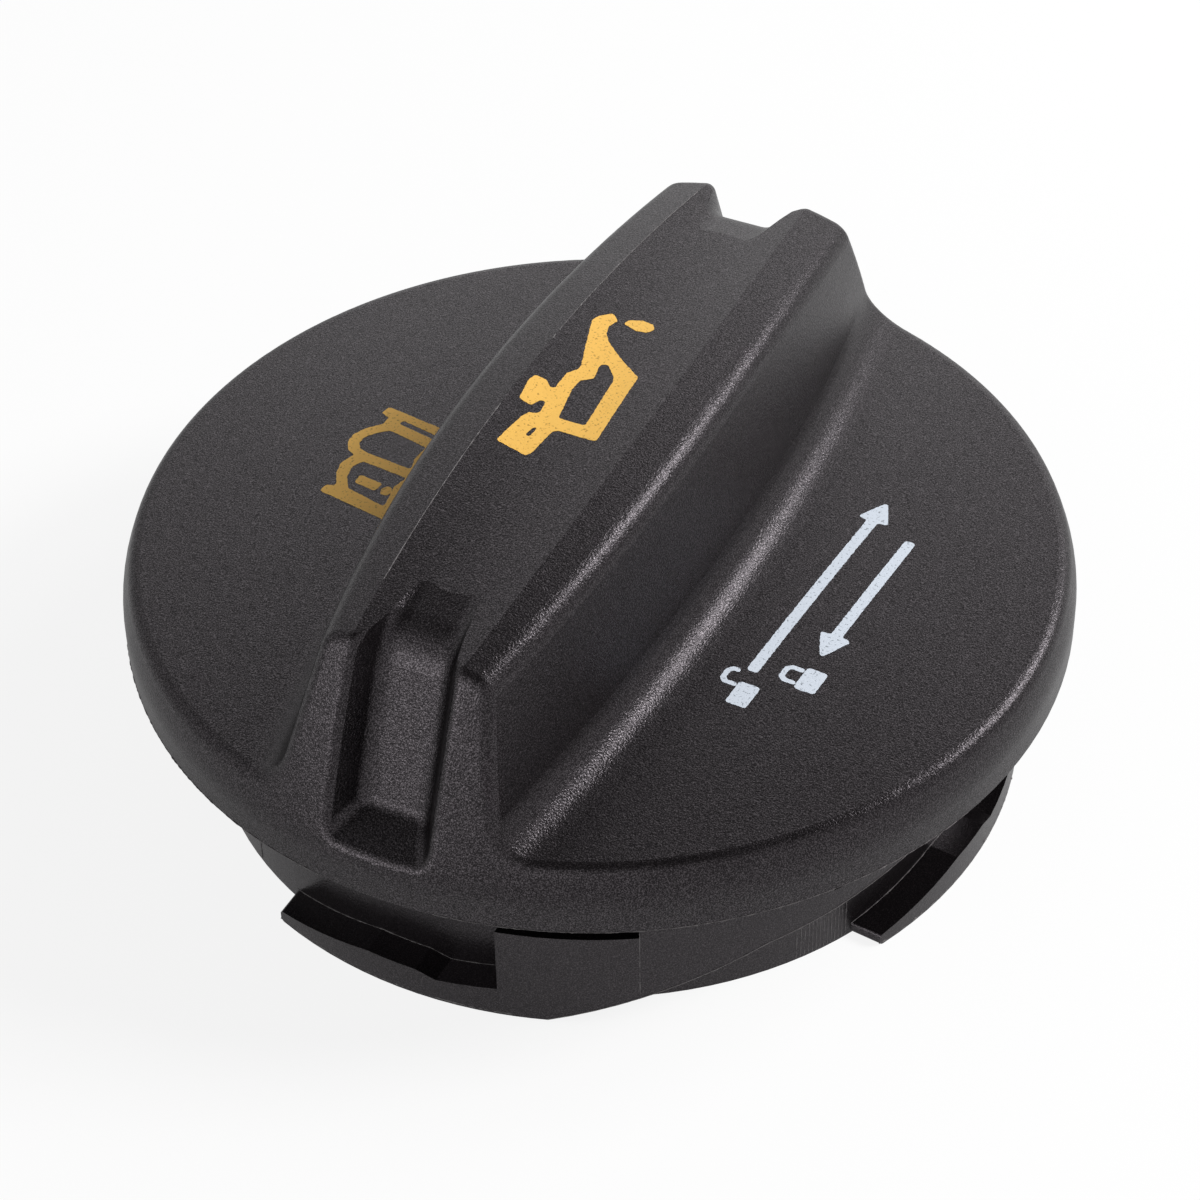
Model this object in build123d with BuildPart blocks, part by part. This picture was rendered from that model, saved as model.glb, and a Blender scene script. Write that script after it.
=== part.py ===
"""Oil filler cap: a moulded bayonet cap with a hollow grip bar, and its sealing ring.

Millimetres, +Z up along the cap's axis. The cap stands on its claws at z = 0, and the grip
runs along Y.
"""
import os
from math import cos, hypot, radians, sin, sqrt, tan

from build123d import *

os.makedirs("parts", exist_ok=True)

# Disc
cap_diameter = 72.0
rim_straight = 2.0
rim_edge_radius = 1.2
disc_height = 5.35
dome_rise = 1.75
roof_thickness = 2.6

# Plug skirt below the rim
skirt_depth = 13.0
rim_overhang = 5.65
skirt_wall = 2.25
skirt_root_chamfer = 0.9

# Groove under the rim, and the sealing ring in it
rim_lip = 1.9
groove_depth = 2.4
seal_thickness = 3.9
seal_edge_radius = 0.6
seal_skirt_clearance = 0.05
seal_lip_clearance = 0.2

# Grip bar: heights are above the rim's lower edge, and half widths are at the middle of its
# length and where its line meets the rim, near at -Y and far at +Y
crest_height = 19.3
crest_drop = 2.9
crest_half_width = 5.34
crest_end_half_width = 3.55
shoulder_half_width = 9.06
shoulder_near_half_width = 5.0
shoulder_far_half_width = 7.1
foot_height = 7.0
foot_half_width = 11.9
foot_end_half_width = 7.77
band_slope = 13.7
shoulder_radius = 1.9
trough_depth = 0.4
trough_margin = 1.0
foot_fillet_radius = 3.4

# Outside of the rim and of the grip's ends: one profile turned about the cap's axis
rim_bend_radius = 6.0
end_lean_low = 20.0
end_lean_high = 26.0
end_roll_drop = 3.08
end_roll_radius = 4.0
end_roll_angle = 45.0

# Pocket in each end of the grip, which runs out into the trough
pocket_foot_inset = 3.8
pocket_foot_height = 5.1
pocket_back_lean = 23.0
pocket_back_length = 10.3
pocket_roll_radius = 4.5
pocket_roll_angle = 53.0
pocket_run_out = 4.0
pocket_floor_half_width = 2.55
pocket_sill_slope = 23.0
pocket_wall_flare = 0.38
pocket_corner_radius = 1.45
pocket_sill_radius = 1.2
pocket_mouth_radius = 0.8

# Hollow of the grip, open below and crossed by ribs
grip_wall = 2.5
grip_top_wall = 2.7
hollow_end_wall = 2.6
hollow_foot_inset = 2.0
hollow_edge_chamfer = 1.2
rib_count = 3
rib_spacing = 13.0
rib_thickness = 1.6

# Bayonet claws: angles are from the closed end of the claw's slot, heights are above its foot
claw_depth = 2.3
claw_root = 0.8
claw_pitch = 85.0
claw_first_angle = -77.6
claw_top = 8.62
web_top = 9.8
tip_angle = -33.4
tip_floor = 1.0
tip_corner_radius = 0.35
cam_angle = -18.0
cam_floor = 2.6
detent_start_angle = -11.0
detent_angle = -8.2
detent_floor = 2.1
slot_end_floor = 2.65
slot_corner_radius = 0.4
arm_slide_angle = -14.5
lobe_overlap_angle = 4.0
lobe_angle = 6.4
web_start_angle = 18.0
ramp_bend_angle = 34.4
ramp_bend_height = 5.7
web_end_angle = 43.6
web_end_height = 6.65
ramp_end_angle = 57.0
ramp_end_height = 8.2
ramp_slide_angle = 30.0

# The blank that the outside profile trims is this much larger than the cap all round
blank_margin = 4.0

# Points closer together than this count as touching
touching = 0.001

cap_radius = cap_diameter / 2
skirt_radius = cap_radius - rim_overhang
skirt_inner_radius = skirt_radius - skirt_wall
claw_radius = skirt_radius + claw_depth
groove_radius = cap_radius - rim_lip
rim_z = skirt_depth
groove_z = rim_z + groove_depth
dome_edge_radius = cap_radius - rim_edge_radius
dome_top_z = rim_z + disc_height + dome_rise
dome_sphere_radius = (dome_edge_radius**2 + dome_rise**2) / (2 * dome_rise)
dome_centre_z = dome_top_z - dome_sphere_radius
crest_z = rim_z + crest_height
foot_z = rim_z + foot_height
blank_radius = cap_radius + blank_margin
grip_stations = [blank_radius * step / 3 for step in range(-3, 4)]
pocket_foot = (cap_radius - pocket_foot_inset, rim_z + pocket_foot_height)
pocket_reach = pocket_foot_inset + blank_margin


def sphere_height(radius, distance):
    """Height of the dome's sphere, or of one concentric with it, at a distance from the axis."""
    return dome_centre_z + sqrt(radius**2 - distance**2)


def along_grip(middle, end, station):
    """Value at y = station of a size that runs from the grip's middle to the rim as a parabola."""
    return middle + (end - middle) * (station / cap_radius) ** 2


def crease_height(station):
    """Height of the creases beside the trough at y = station."""
    return along_grip(crest_z, crest_z - crest_drop, station)


def shoulder_point(station):
    """Half width and height of the corner between the grip's top band and its side wall."""
    crease_x = along_grip(crest_half_width, crest_end_half_width, station)
    end_x = shoulder_far_half_width if station > 0 else shoulder_near_half_width
    shoulder_x = along_grip(shoulder_half_width, end_x, station)
    band_fall = (shoulder_x - crease_x) * tan(radians(band_slope))
    return shoulder_x, crease_height(station) - band_fall


def wall_half_width(station, height):
    """Half width of the grip's leaning side walls at y = station and z = height."""
    foot_x = along_grip(foot_half_width, foot_end_half_width, station)
    shoulder_x, shoulder_z = shoulder_point(station)
    return foot_x + (shoulder_x - foot_x) * (height - foot_z) / (shoulder_z - foot_z)


def grip_section(station):
    """Cross section of the grip on the plane y = station, with a crown where the trough is cut."""
    crease_x = along_grip(crest_half_width, crest_end_half_width, station)
    slope = radians(band_slope)
    crown_x = crease_x - trough_margin
    crown_z = crease_height(station) + trough_margin * tan(slope)
    shoulder_x, shoulder_z = shoulder_point(station)
    base_x = wall_half_width(station, rim_z)
    with BuildSketch(Plane.XZ.offset(-station)) as section:
        with BuildLine():
            Polyline(
                (-crown_x, crown_z),
                (-shoulder_x, shoulder_z),
                (-base_x, rim_z),
                (base_x, rim_z),
                (shoulder_x, shoulder_z),
                (crown_x, crown_z),
            )
            ThreePointArc((crown_x, crown_z), (0, crown_z + crown_x * tan(slope / 2)), (-crown_x, crown_z))
        make_face()
        fillet(section.vertices().group_by(Axis.Y)[1], shoulder_radius)
    return section.sketch


def trough_section(station):
    """Cross section of the cutter of the shallow trough between the creases, at y = station."""
    crease_x = along_grip(crest_half_width, crest_end_half_width, station)
    floor_z = crease_height(station) - trough_depth
    arc_radius = (crease_x**2 + trough_depth**2) / (2 * trough_depth)
    edge_x = crease_x + trough_margin
    edge_z = floor_z + arc_radius - sqrt(arc_radius**2 - edge_x**2)
    with BuildSketch(Plane.XZ.offset(-station)) as section:
        with BuildLine():
            ThreePointArc((-edge_x, edge_z), (0, floor_z), (edge_x, edge_z))
            Polyline((edge_x, edge_z), (edge_x, 2 * crest_z), (-edge_x, 2 * crest_z), (-edge_x, edge_z))
        make_face()
    return section.sketch


def hollow_section(station):
    """Cross section of the grip's hollow on the plane y = station."""
    top_z = crease_height(station) - trough_depth - grip_top_wall
    edge_z = top_z - hollow_edge_chamfer
    edge_x = wall_half_width(station, edge_z) - grip_wall
    top_x = edge_x - hollow_edge_chamfer
    base_x = wall_half_width(station, rim_z) - grip_wall
    with BuildSketch(Plane.XZ.offset(-station)) as section:
        with BuildLine():
            Polyline(
                (-base_x, rim_z),
                (base_x, rim_z),
                (edge_x, edge_z),
                (top_x, top_z),
                (-top_x, top_z),
                (-edge_x, edge_z),
                close=True,
            )
        make_face()
    return section.sketch


def pocket_cutter(path):
    """Cutter of the pocket, drawn along a path up its back wall."""
    turn = radians(pocket_sill_slope)
    sill_plane = Plane(origin=(0, *pocket_foot), x_dir=(1, 0, 0), z_dir=(0, sin(turn), cos(turn)))
    mouth_half_width = pocket_floor_half_width + pocket_wall_flare * pocket_reach
    with BuildPart() as cutter:
        with BuildSketch(sill_plane):
            with BuildLine():
                Polyline(
                    (-pocket_floor_half_width, 0),
                    (pocket_floor_half_width, 0),
                    (mouth_half_width, pocket_reach),
                    (-mouth_half_width, pocket_reach),
                    close=True,
                )
            floor = make_face()
            fillet(floor.vertices().group_by(Axis.Y)[0], pocket_corner_radius)
        sweep(path=path.line)
        sill = cutter.faces().sort_by(Axis.Z)[0]
        fillet(sill.edges().sort_by(Axis.Y)[:-1], pocket_sill_radius)
    return cutter.part


def lies_on(edge, shapes):
    """Whether an edge's middle lies on one of the shapes."""
    middle = Vertex(edge @ 0.5)
    return any(middle.distance_to(shape) < touching for shape in shapes)


def mid_radius(edge):
    """Distance of an edge's middle from the cap's axis."""
    middle = edge @ 0.5
    return hypot(middle.X, middle.Y)


def claw_plane(angle):
    """Upright plane through the axis that faces outward at an angle from the slot's closed end."""
    turn = radians(angle)
    return Plane(origin=(0, 0, 0), x_dir=(-sin(turn), cos(turn), 0), z_dir=(cos(turn), sin(turn), 0))


def claw_outline(corners, slide_angle):
    """Corners given as (angle, height), seen square on along the direction the slide draws."""
    return [(claw_radius * sin(radians(angle - slide_angle)), height) for angle, height in corners]


# Paths up the back wall of the pocket at the +Y end: straight out at the top, and over into the trough
with BuildLine(Plane.YZ) as shaft_path:
    shaft_rise = crest_z + blank_margin - pocket_foot[1]
    PolarLine(pocket_foot, shaft_rise / cos(radians(pocket_back_lean)), 90 + pocket_back_lean)

with BuildLine(Plane.YZ) as pocket_path:
    back = PolarLine(pocket_foot, pocket_back_length, 90 + pocket_back_lean)
    over = JernArc(back @ 1, back % 1, pocket_roll_radius, pocket_roll_angle)
    PolarLine(over @ 1, pocket_run_out, direction=over % 1)

# Crown: dome and grip blended at the grip's foot, trimmed by the turned outside profile, then
# cut by the pockets, whose mouths are rounded before the trough runs out over them
with BuildPart() as crown:
    with BuildSketch(Plane.YZ):
        with BuildLine():
            dome_blank_radius = 1.5 * blank_radius
            dome_blank_edge = (dome_blank_radius, sphere_height(dome_sphere_radius, dome_blank_radius))
            RadiusArc((0, dome_top_z), dome_blank_edge, dome_sphere_radius)
            Polyline(dome_blank_edge, (dome_blank_radius, 0), (0, 0), (0, dome_top_z))
        make_face()
    revolve(axis=Axis.Z)
    Box(2 * blank_radius, 2 * blank_radius, 2 * crest_z, mode=Mode.INTERSECT)
    loft([grip_section(station) for station in grip_stations])
    grip_lines = crown.edges().filter_by(lambda edge: edge.bounding_box().size.Y > cap_diameter)
    foot_lines = grip_lines.filter_by(lambda edge: abs(edge.center().X) < cap_radius)
    fillet(foot_lines.group_by(Axis.Z)[0], foot_fillet_radius)
    with BuildSketch(Plane.YZ):
        with BuildLine():
            bend = JernArc((cap_radius, rim_z + rim_straight), (0, 1), rim_bend_radius, end_lean_low)
            end_rise = crest_z - end_roll_drop - (bend @ 1).Y
            end_radius = end_rise / (sin(radians(end_lean_high)) - sin(radians(end_lean_low)))
            end_face = JernArc(bend @ 1, bend % 1, end_radius, end_lean_high - end_lean_low)
            roll = JernArc(end_face @ 1, end_face % 1, end_roll_radius, end_roll_angle)
            roll_end = roll @ 1
            roll_slope = (roll % 1).Y / (roll % 1).X
            apex = (0, roll_end.Y - roll_end.X * roll_slope)
            Polyline(roll_end, apex, (0, rim_z), (cap_radius, rim_z), bend @ 0)
        make_face()
    revolve(axis=Axis.Z, mode=Mode.INTERSECT)
    trimmed = crown.edges().filter_by(GeomType.CIRCLE, reverse=True)
    trimmed = trimmed.filter_by(lambda edge: mid_radius(edge) > cap_radius / 2)
    trimmed = trimmed.filter_by(lambda edge: edge.bounding_box().min.Z > (bend @ 1).Y)
    fillet(trimmed, rim_edge_radius)
    outside = crown.faces()
    outside_lines = crown.edges()
    shaft = pocket_cutter(shaft_path)
    add([shaft, mirror(shaft, about=Plane.XZ)], mode=Mode.SUBTRACT)
    mouth = crown.edges().filter_by(lambda edge: lies_on(edge, outside) and not lies_on(edge, outside_lines))
    fillet(mouth, pocket_mouth_radius)
    pocket = pocket_cutter(pocket_path)
    add([pocket, mirror(pocket, about=Plane.XZ)], mode=Mode.SUBTRACT)
    loft([trough_section(station) for station in grip_stations], mode=Mode.SUBTRACT)

# Cutter of the grip's hollow, parted where the ribs stand
with BuildPart() as hollow:
    hollow_top_z = crest_z - trough_depth - grip_top_wall
    hollow_foot_y = skirt_inner_radius - hollow_foot_inset
    end_wall_y = hollow_end_wall / cos(radians(pocket_back_lean))
    back_rise = hollow_top_z - pocket_foot[1]
    hollow_top_y = pocket_foot[0] - back_rise * tan(radians(pocket_back_lean)) - end_wall_y
    loft([hollow_section(skirt_inner_radius * step) for step in (-1, 0, 1)])
    with BuildSketch(Plane.YZ):
        with BuildLine():
            Polyline(
                (-hollow_foot_y, rim_z),
                (hollow_foot_y, rim_z),
                (hollow_top_y, hollow_top_z),
                (-hollow_top_y, hollow_top_z),
                close=True,
            )
        make_face()
    extrude(amount=cap_radius, both=True, mode=Mode.INTERSECT)
    with GridLocations(0, rib_spacing, 1, rib_count):
        Box(cap_diameter, rib_thickness, 2 * crest_z, mode=Mode.SUBTRACT)

# One bayonet claw with the closed end of its slot at +X: an arm and lobe, and a ramped web
with BuildPart() as arm:
    with BuildSketch(claw_plane(arm_slide_angle)):
        with BuildLine():
            Polyline(
                claw_outline(
                    [
                        (tip_angle, 0),
                        (lobe_angle, 0),
                        (lobe_angle, claw_top),
                        (0, claw_top),
                        (0, slot_end_floor),
                        (detent_angle, detent_floor),
                        (detent_start_angle, cam_floor),
                        (cam_angle, cam_floor),
                        (tip_angle, tip_floor),
                    ],
                    arm_slide_angle,
                ),
                close=True,
            )
        arm_face = make_face()
        tip_line = arm_face.vertices().sort_by(Axis.X)[0].X
        fillet(arm_face.vertices().filter_by(lambda vertex: vertex.X < tip_line + touching), tip_corner_radius)
        slot_corner = claw_outline([(0, slot_end_floor)], arm_slide_angle)[0]
        fillet(arm_face.vertices().sort_by_distance(slot_corner)[0], slot_corner_radius)
    extrude(amount=cap_radius)

with BuildPart() as claw:
    with BuildSketch(claw_plane(ramp_slide_angle)):
        with BuildLine():
            Polyline(
                claw_outline(
                    [
                        (lobe_overlap_angle, 0),
                        (lobe_angle, 0),
                        (ramp_bend_angle, ramp_bend_height),
                        (web_end_angle, web_end_height),
                        (ramp_end_angle, ramp_end_height),
                        (ramp_end_angle, claw_top),
                        (web_end_angle, claw_top),
                        (web_end_angle, web_top),
                        (web_start_angle, web_top),
                        (web_start_angle, claw_top),
                        (lobe_overlap_angle, claw_top),
                    ],
                    ramp_slide_angle,
                ),
                close=True,
            )
        make_face()
    extrude(amount=cap_radius)
    add(arm.part)
    with BuildSketch():
        Circle(claw_radius)
        Circle(skirt_radius - claw_root, mode=Mode.SUBTRACT)
    extrude(amount=skirt_depth, mode=Mode.INTERSECT)

with BuildPart() as cap_body:
    add(crown.part)
    with BuildSketch():
        Circle(skirt_radius)
    extrude(amount=rim_z)
    with BuildSketch(Plane.YZ):
        with BuildLine():
            roof_radius = dome_sphere_radius - roof_thickness
            roof_edge = (skirt_inner_radius, sphere_height(roof_radius, skirt_inner_radius))
            RadiusArc((0, dome_centre_z + roof_radius), roof_edge, roof_radius)
            Polyline(roof_edge, (skirt_inner_radius, 0), (0, 0), (0, dome_centre_z + roof_radius))
        cavity = make_face()
        chamfer(cavity.vertices().sort_by_distance(roof_edge)[0], skirt_root_chamfer)
    revolve(axis=Axis.Z, mode=Mode.SUBTRACT)
    with BuildSketch(Plane.XY.offset(rim_z)):
        Circle(groove_radius)
        Circle(skirt_radius, mode=Mode.SUBTRACT)
    extrude(amount=groove_depth, mode=Mode.SUBTRACT)
    add(hollow.part, mode=Mode.SUBTRACT)
    for claw_angle in (0, claw_pitch, 180, 180 + claw_pitch):
        add(claw.part, rotation=(0, 0, claw_first_angle + claw_angle))

with BuildPart() as seal_ring:
    with BuildSketch(Plane.XY.offset(groove_z - seal_thickness)):
        Circle(groove_radius - seal_lip_clearance)
        Circle(skirt_radius + seal_skirt_clearance, mode=Mode.SUBTRACT)
    extrude(amount=seal_thickness)
    fillet(seal_ring.edges().filter_by(GeomType.CIRCLE), seal_edge_radius)

cap_body.part.label = "cap_body"
seal_ring.part.label = "seal_ring"
export_step(cap_body.part, "parts/cap_body.step")
export_step(seal_ring.part, "parts/seal_ring.step")
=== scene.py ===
import logging
import math
from dataclasses import dataclass, field
from enum import Enum
from typing import Any, Optional, Sequence

import bpy
from mathutils import Matrix, Vector


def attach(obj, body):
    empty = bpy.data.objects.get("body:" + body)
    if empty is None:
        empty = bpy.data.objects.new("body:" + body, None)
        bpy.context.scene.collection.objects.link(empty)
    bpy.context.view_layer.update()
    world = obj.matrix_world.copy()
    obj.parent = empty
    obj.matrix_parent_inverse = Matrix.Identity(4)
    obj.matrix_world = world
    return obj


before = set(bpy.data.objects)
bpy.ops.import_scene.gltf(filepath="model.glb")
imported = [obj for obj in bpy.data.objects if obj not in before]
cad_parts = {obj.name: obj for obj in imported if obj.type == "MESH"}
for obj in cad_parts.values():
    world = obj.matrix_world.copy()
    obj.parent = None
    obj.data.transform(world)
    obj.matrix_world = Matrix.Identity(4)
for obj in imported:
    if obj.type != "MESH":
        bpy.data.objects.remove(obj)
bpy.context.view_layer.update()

MM = 0.001
RIM_EDGE = 13.0
HALF_TURNS = (0.0, 180.0)
WHITE_LIGHT = (1.0, 1.0, 1.0, 1.0)
LOG = logging.getLogger("oil_filler_cap")
Point = tuple[float, float]
Outline = list[Point]
Place = tuple[float, float, float]


def linear(hex_colour: str) -> tuple[float, float, float, float]:
    """Turn an sRGB hex colour into linear light.

    Args:
        hex_colour: Six hex digits, such as "F4C96C".

    Returns:
        Red, green, blue and an alpha of 1.
    """
    channels = [int(hex_colour[i:i + 2], 16) / 255 for i in (0, 2, 4)]
    levels = [c / 12.92 if c <= 0.04045 else ((c + 0.055) / 1.055) ** 2.4 for c in channels]
    return (levels[0], levels[1], levels[2], 1.0)


def add_node(
    tree: bpy.types.NodeTree,
    kind: str,
    settings: Optional[dict[str, Any]] = None,
    inputs: Optional[dict[Any, Any]] = None,
) -> bpy.types.Node:
    """Add a node to a tree with its settings, input values and links.

    Args:
        tree: Shader or geometry tree.
        kind: Blender's type name of the node.
        settings: Attributes to set on the node.
        inputs: Socket name or index to a plain value, or to the output socket that is linked in.

    Returns:
        The new node.
    """
    node = tree.nodes.new(kind)
    for name, value in (settings or {}).items():
        setattr(node, name, value)
    for name, value in (inputs or {}).items():
        if isinstance(value, bpy.types.NodeSocket):
            tree.links.new(value, node.inputs[name])
        else:
            node.inputs[name].default_value = value
    return node


def new_material(name: str) -> tuple[bpy.types.Material, bpy.types.NodeTree, bpy.types.Node]:
    """Make an empty node material with an output.

    Args:
        name: Name of the real material and how it was made.

    Returns:
        The material, its tree and its output node.
    """
    material = bpy.data.materials.new(name)
    material.use_nodes = True
    tree = material.node_tree
    tree.nodes.clear()
    return material, tree, add_node(tree, "ShaderNodeOutputMaterial")


def spread(first: float, last: float, count: int) -> list[float]:
    """Give evenly spaced values from the first to the last."""
    return [first + (last - first) * k / (count - 1) for k in range(count)]


def turned(radius: float, angle: float, height: float) -> Place:
    """Give the place at a radius, an angle in degrees and a height."""
    return radius * math.cos(math.radians(angle)), radius * math.sin(math.radians(angle)), height


def draw_lines(name: str, lines: Sequence[Sequence[Place]], closed: bool) -> bpy.types.Object:
    """Draw polylines as one curve object.

    Args:
        name: Name of the finished piece.
        lines: Points of each line in millimetres.
        closed: Whether every line runs back to its start.

    Returns:
        The curve object, linked to the scene.
    """
    curve = bpy.data.curves.new(name + "_lines", "CURVE")
    curve.dimensions = "3D"
    for line in lines:
        spline = curve.splines.new("POLY")
        spline.points.add(len(line) - 1)
        for point, (x, y, z) in zip(spline.points, line):
            point.co = (x * MM, y * MM, z * MM, 1.0)
        spline.use_cyclic_u = closed
    drawn = bpy.data.objects.new(name + "_lines", curve)
    bpy.context.scene.collection.objects.link(drawn)
    return drawn


def bake(
    name: str,
    drawn: bpy.types.Object,
    group: bpy.types.NodeTree,
    values: dict[str, Any],
) -> bpy.types.Object:
    """Run a geometry tree on a drawn curve and keep what it makes as a plain mesh.

    Args:
        name: Name of the finished piece.
        drawn: The curve object, which is removed.
        group: The geometry tree.
        values: Input values of the tree by name; "Finish" is the material.

    Returns:
        The finished mesh object.
    """
    modifier = drawn.modifiers.new(group.name, "NODES")
    modifier.node_group = group
    for item in group.interface.items_tree:
        if item.in_out == "INPUT" and item.name in values:
            modifier[item.identifier] = values[item.name]
    bpy.context.view_layer.update()
    seen = drawn.evaluated_get(bpy.context.evaluated_depsgraph_get())
    mesh = bpy.data.meshes.new_from_object(seen)
    mesh.name = name
    piece = bpy.data.objects.new(name, mesh)
    bpy.context.scene.collection.objects.link(piece)
    bpy.data.objects.remove(drawn)
    return piece


def new_group(name: str, sockets: Sequence[tuple[str, str]]) -> tuple[bpy.types.NodeTree, Any]:
    """Make a geometry tree with named inputs and a geometry output.

    Args:
        name: Name of the tree.
        sockets: Name and socket type of each input after the geometry.

    Returns:
        The tree and the sockets of its group input.
    """
    group = bpy.data.node_groups.new(name, "GeometryNodeTree")
    for label, kind in (("Geometry", "NodeSocketGeometry"), *sockets):
        group.interface.new_socket(label, in_out="INPUT", socket_type=kind)
    group.interface.new_socket("Geometry", in_out="OUTPUT", socket_type="NodeSocketGeometry")
    return group, add_node(group, "NodeGroupInput").outputs


@dataclass(frozen=True)
class MouldedNylon:
    """Black glass-filled nylon from a spark-eroded mould.

    To the eye it is a near-black satin with a fine pebbled grain that breaks highlights into
    sparkles. The plug below the rim comes from smoother steel, so its grain is weaker. Each span
    gives the two levels of a noise between which it takes effect.
    """

    name: str = "nylon_glass_filled_spark_eroded"
    shade: str = "0C0A0B"
    fleck: str = "1E1A1B"
    roughness: float = 0.3
    smooth_roughness: float = 0.26
    ior: float = 1.62
    grain: float = 0.16 * MM
    fine_grain: float = 0.09 * MM
    fine_share: float = 0.35
    grain_height: float = 0.03 * MM
    grain_fade: float = 0.6 * MM
    plug_grain: float = 0.6
    fleck_span: Point = (0.6, 0.76)
    glint: Point = (0.2, 1.0)
    glint_span: Point = (0.44, 0.68)
    plain_glint: float = 0.5
    tint: str = "FFF4FC"
    flow: float = 6.0 * MM
    flow_span: Point = (0.3, 0.7)

    def make(self) -> bpy.types.Material:
        """Build the material.

        Returns:
            The node material.
        """
        material, tree, output = new_material(self.name)
        place = add_node(tree, "ShaderNodeTexCoord").outputs["Object"]
        height = add_node(tree, "ShaderNodeSeparateXYZ", inputs={0: place}).outputs["Z"]
        above = add_node(tree, "ShaderNodeMapRange", inputs={
            "Value": height, "From Min": RIM_EDGE * MM - self.grain_fade, "From Max": RIM_EDGE * MM,
            "To Min": self.plug_grain, "To Max": 1.0}).outputs["Result"]
        pebble = add_node(tree, "ShaderNodeTexNoise", {"noise_dimensions": "3D"}, {
            "Vector": place, "Scale": 1 / self.grain, "Detail": 1.0, "Roughness": 0.5}).outputs["Fac"]
        pits = add_node(tree, "ShaderNodeTexNoise", {"noise_dimensions": "3D"}, {
            "Vector": place, "Scale": 1 / self.fine_grain, "Detail": 1.0, "Roughness": 0.5}).outputs["Fac"]
        relief = add_node(tree, "ShaderNodeMath", {"operation": "MULTIPLY_ADD"}, {
            0: pits, 1: self.fine_share, 2: pebble}).outputs[0]
        bump = add_node(tree, "ShaderNodeBump", inputs={
            "Strength": above, "Distance": self.grain_height, "Height": relief}).outputs["Normal"]
        cloud = add_node(tree, "ShaderNodeTexNoise", {"noise_dimensions": "3D"}, {
            "Vector": place, "Scale": 1 / self.flow, "Detail": 3.0}).outputs["Fac"]
        gloss = add_node(tree, "ShaderNodeMapRange", inputs={
            "Value": cloud, "From Min": self.flow_span[0], "From Max": self.flow_span[1],
            "To Min": self.smooth_roughness, "To Max": self.roughness}).outputs["Result"]
        specks = add_node(tree, "ShaderNodeMapRange", {"interpolation_type": "SMOOTHSTEP"}, {
            "Value": pits, "From Min": self.fleck_span[0], "From Max": self.fleck_span[1]}).outputs["Result"]
        colour = add_node(tree, "ShaderNodeMix", {"data_type": "RGBA"}, {
            "Factor": specks, 6: linear(self.shade), 7: linear(self.fleck)}).outputs[2]
        glint = add_node(tree, "ShaderNodeMapRange", inputs={
            "Value": pits, "From Min": self.glint_span[0], "From Max": self.glint_span[1],
            "To Min": self.glint[0], "To Max": self.glint[1]}).outputs["Result"]
        mirror = add_node(tree, "ShaderNodeMix", {"data_type": "FLOAT"}, {
            "Factor": above, 2: self.plain_glint, 3: glint}).outputs[0]
        shader = add_node(tree, "ShaderNodeBsdfPrincipled", inputs={
            "Base Color": colour, "Roughness": gloss, "IOR": self.ior, "Specular IOR Level": mirror,
            "Specular Tint": linear(self.tint), "Normal": bump})
        tree.links.new(shader.outputs[0], output.inputs["Surface"])
        return material


@dataclass(frozen=True)
class NitrileRubber:
    """Black nitrile rubber, moulded: to the eye a duller, slightly softer black than the nylon."""

    name: str = "nitrile_rubber_moulded"
    shade: str = "171717"
    roughness: float = 0.62
    ior: float = 1.52
    roughness_spread: float = 0.06
    grain: float = 0.35 * MM
    grain_span: Point = (0.3, 0.7)
    grain_height: float = 0.006 * MM
    grain_strength: float = 0.6

    def make(self) -> bpy.types.Material:
        """Build the material.

        Returns:
            The node material.
        """
        material, tree, output = new_material(self.name)
        place = add_node(tree, "ShaderNodeTexCoord").outputs["Object"]
        cloud = add_node(tree, "ShaderNodeTexNoise", inputs={
            "Vector": place, "Scale": 1 / self.grain, "Detail": 3.0}).outputs["Fac"]
        bump = add_node(tree, "ShaderNodeBump", inputs={
            "Strength": self.grain_strength, "Distance": self.grain_height,
            "Height": cloud}).outputs["Normal"]
        gloss = add_node(tree, "ShaderNodeMapRange", inputs={
            "Value": cloud, "From Min": self.grain_span[0], "From Max": self.grain_span[1],
            "To Min": self.roughness - self.roughness_spread,
            "To Max": self.roughness + self.roughness_spread}).outputs["Result"]
        shader = add_node(tree, "ShaderNodeBsdfPrincipled", inputs={
            "Base Color": linear(self.shade), "Roughness": gloss, "IOR": self.ior, "Normal": bump})
        tree.links.new(shader.outputs[0], output.inputs["Surface"])
        return material


@dataclass(frozen=True)
class NylonFlash:
    """Thin flash of the same nylon, rubbed shinier in handling; its paler grey is painted highlight."""

    name: str = "nylon_flash_rubbed"
    # painted highlight: this pale grey stands in for the light that the thin flash threads catch
    shade: str = "5A5657"
    roughness: float = 0.36
    roughness_spread: float = 0.08
    ior: float = 1.53
    rub: float = 0.6 * MM
    rub_span: Point = (0.3, 0.7)

    def make(self) -> bpy.types.Material:
        """Build the material.

        Returns:
            The node material.
        """
        material, tree, output = new_material(self.name)
        place = add_node(tree, "ShaderNodeTexCoord").outputs["Object"]
        rub = add_node(tree, "ShaderNodeTexNoise", inputs={
            "Vector": place, "Scale": 1 / self.rub, "Detail": 1.0}).outputs["Fac"]
        gloss = add_node(tree, "ShaderNodeMapRange", inputs={
            "Value": rub, "From Min": self.rub_span[0], "From Max": self.rub_span[1],
            "To Min": self.roughness - self.roughness_spread,
            "To Max": self.roughness + self.roughness_spread}).outputs["Result"]
        shader = add_node(tree, "ShaderNodeBsdfPrincipled", inputs={
            "Base Color": linear(self.shade), "Roughness": gloss, "IOR": self.ior})
        tree.links.new(shader.outputs[0], output.inputs["Surface"])
        return material


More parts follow.
